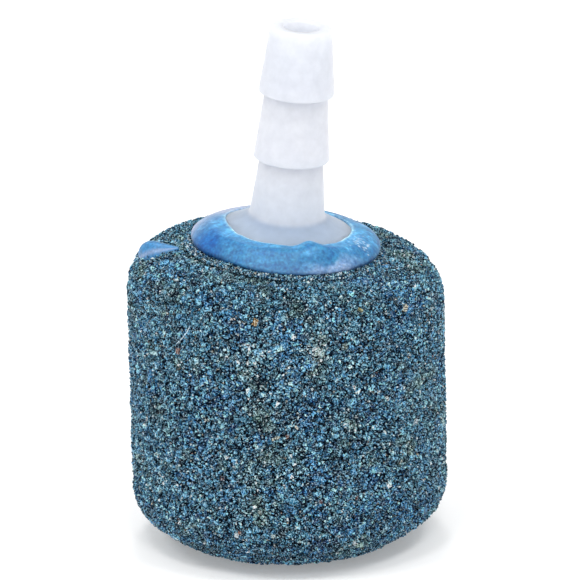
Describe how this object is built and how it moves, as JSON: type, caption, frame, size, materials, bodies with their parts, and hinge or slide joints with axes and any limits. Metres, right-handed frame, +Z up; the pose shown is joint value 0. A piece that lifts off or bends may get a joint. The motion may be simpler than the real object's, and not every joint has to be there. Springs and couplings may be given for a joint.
{
  "type": "air stone",
  "caption": "Cylindrical air stone of bonded mineral grains with rounded edges and a barbed hose nozzle glued into its top, leaning slightly.",
  "frame": {"origin": "centre of the flat base that the stone rests on", "axes": "+Z up through the stone towards the nozzle; +X is the side that the nozzle leans to and that the stone's top falls to; -Y is the front"},
  "size_m": [0.02, 0.02, 0.0337],
  "materials": {
    "mineral_grains": "coarse sparkling blue grains, bonded and open-pored",
    "milky_plastic": "natural translucent polyolefin, smooth as moulded",
    "cured_glue": "translucent blue resin, glossy, set as it flowed"
  },
  "bodies": {
    "root": {"porous_stone": "mineral_grains", "hose_nozzle": "milky_plastic", "glue_seal": "cured_glue", "glue_drip": "cured_glue"}
  },
  "joints": []
}
